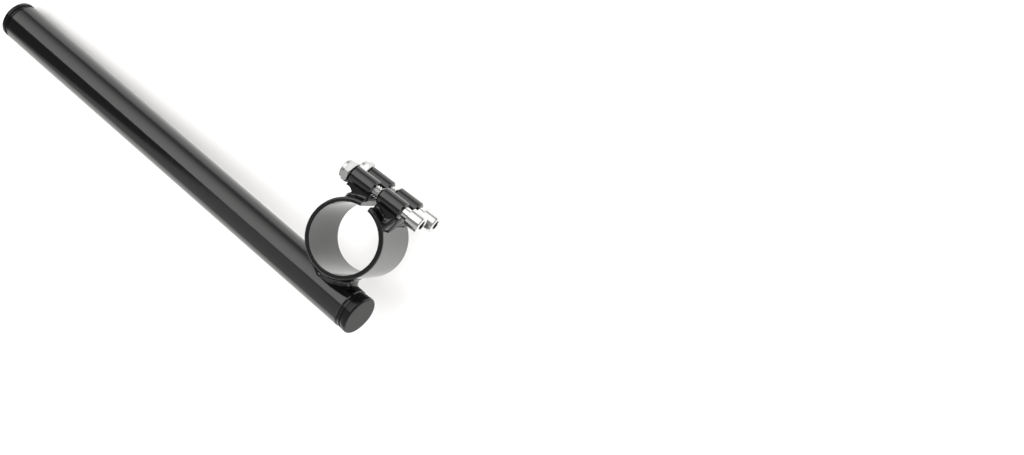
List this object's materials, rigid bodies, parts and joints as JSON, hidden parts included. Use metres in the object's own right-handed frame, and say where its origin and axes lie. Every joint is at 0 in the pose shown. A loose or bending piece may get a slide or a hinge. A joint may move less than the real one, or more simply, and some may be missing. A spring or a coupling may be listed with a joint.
{
  "type": "clip-on handlebar",
  "caption": "Clip-on handlebar: a straight black steel bar welded across a split ring that clamps round a fork leg, pinched by socket screws",
  "frame": {"origin": "middle of the clamp ring's bore, halfway up its height", "axes": "+Z along the fork leg, up; +X towards the bar's outer end; -Y towards the pinch screws"},
  "size_m": [0.2847, 0.0752, 0.0781],
  "materials": {
    "black_steel": "deep gloss black powder coat over steel, light orange peel",
    "chromed_steel": "bright plated steel",
    "nylon": "natural nylon",
    "plug_plastic": "satin black moulded plastic"
  },
  "bodies": {
    "root": {"handlebar_tube": "black_steel", "clamp_ring": "black_steel", "tube_weld": "black_steel", "barrel_saddle_nut": "black_steel", "barrel_saddle_head": "black_steel", "saddle_weld_nut": "black_steel", "saddle_weld_head": "black_steel", "pinch_barrel_nut_upper": "black_steel", "pinch_barrel_nut_lower": "black_steel", "pinch_barrel_head_upper": "black_steel", "pinch_barrel_head_lower": "black_steel", "pinch_screw_upper": "chromed_steel", "pinch_screw_lower": "chromed_steel", "lock_nut_upper": "chromed_steel", "lock_nut_lower": "chromed_steel", "nylon_insert_upper": "nylon", "nylon_insert_lower": "nylon", "end_plug_inboard": "plug_plastic", "end_plug_outboard": "plug_plastic"}
  },
  "joints": []
}
